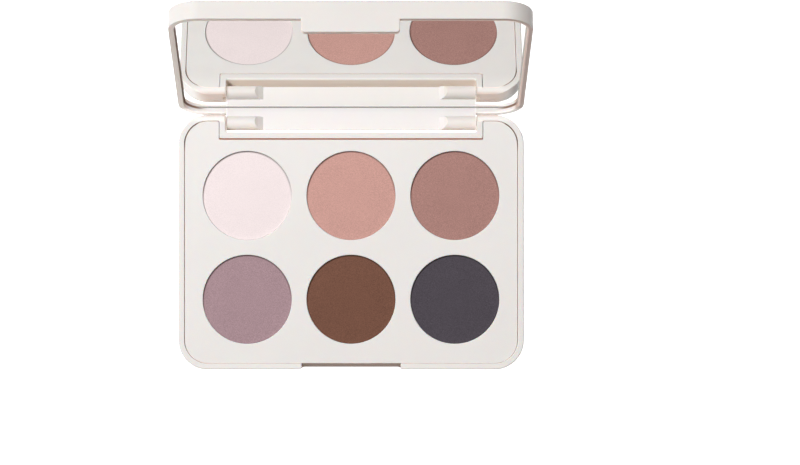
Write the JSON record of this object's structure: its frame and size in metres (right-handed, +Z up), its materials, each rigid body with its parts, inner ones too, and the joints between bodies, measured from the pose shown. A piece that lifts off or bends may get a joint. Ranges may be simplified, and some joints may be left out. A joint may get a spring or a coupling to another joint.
{
  "type": "eyeshadow palette",
  "caption": "Slim hinged makeup case with a mirror in its lid and round pressed powder pans in a tray, stood open; a fluted panel under a clear cover decorates the lid.",
  "frame": {"origin": "centre of the base's bottom face, where the palette rests", "axes": "+Z up, +X to the user's right, +Y towards the hinge at the rear"},
  "size_m": [0.1014, 0.1038, 0.0735],
  "materials": {
    "case_plastic": "satin moulded",
    "tray_plastic": "fine matte",
    "pan_metal": "drawn",
    "adhesive": "tacky",
    "mirror_glass": "silvered",
    "fluted_pink": "pearl",
    "clear_acrylic": "clear",
    "pin_steel": "drawn wire",
    "shade_shell_pink": "pressed powder",
    "shade_rose": "pressed powder",
    "shade_taupe_rose": "pressed powder",
    "shade_mauve": "pressed powder",
    "shade_brown": "pressed powder",
    "shade_charcoal": "pressed powder"
  },
  "bodies": {
    "base": {"base_shell": "case_plastic", "pan_tray": "tray_plastic", "glue_pads": "adhesive", "pan_rear_left": "pan_metal", "powder_rear_left": "shade_shell_pink", "pan_rear_middle": "pan_metal", "powder_rear_middle": "shade_rose", "pan_rear_right": "pan_metal", "powder_rear_right": "shade_taupe_rose", "pan_front_left": "pan_metal", "powder_front_left": "shade_mauve", "pan_front_middle": "pan_metal", "powder_front_middle": "shade_brown", "pan_front_right": "pan_metal", "powder_front_right": "shade_charcoal"},
    "lid": {"lid_shell": "case_plastic", "mirror": "mirror_glass", "mirror_tape": "adhesive", "panel_tape": "adhesive", "fluted_panel": "fluted_pink", "clear_cover": "clear_acrylic", "hinge_pin_left": "pin_steel", "hinge_pin_right": "pin_steel"}
  },
  "joints": [
    {"name": "lid_hinge", "type": "hinge", "parent": "base", "child": "lid", "pos_m": [0, 0.03501, 0.00482], "axis": [-1, 0, 0], "range_deg": [-108.75, 0]}
  ]
}
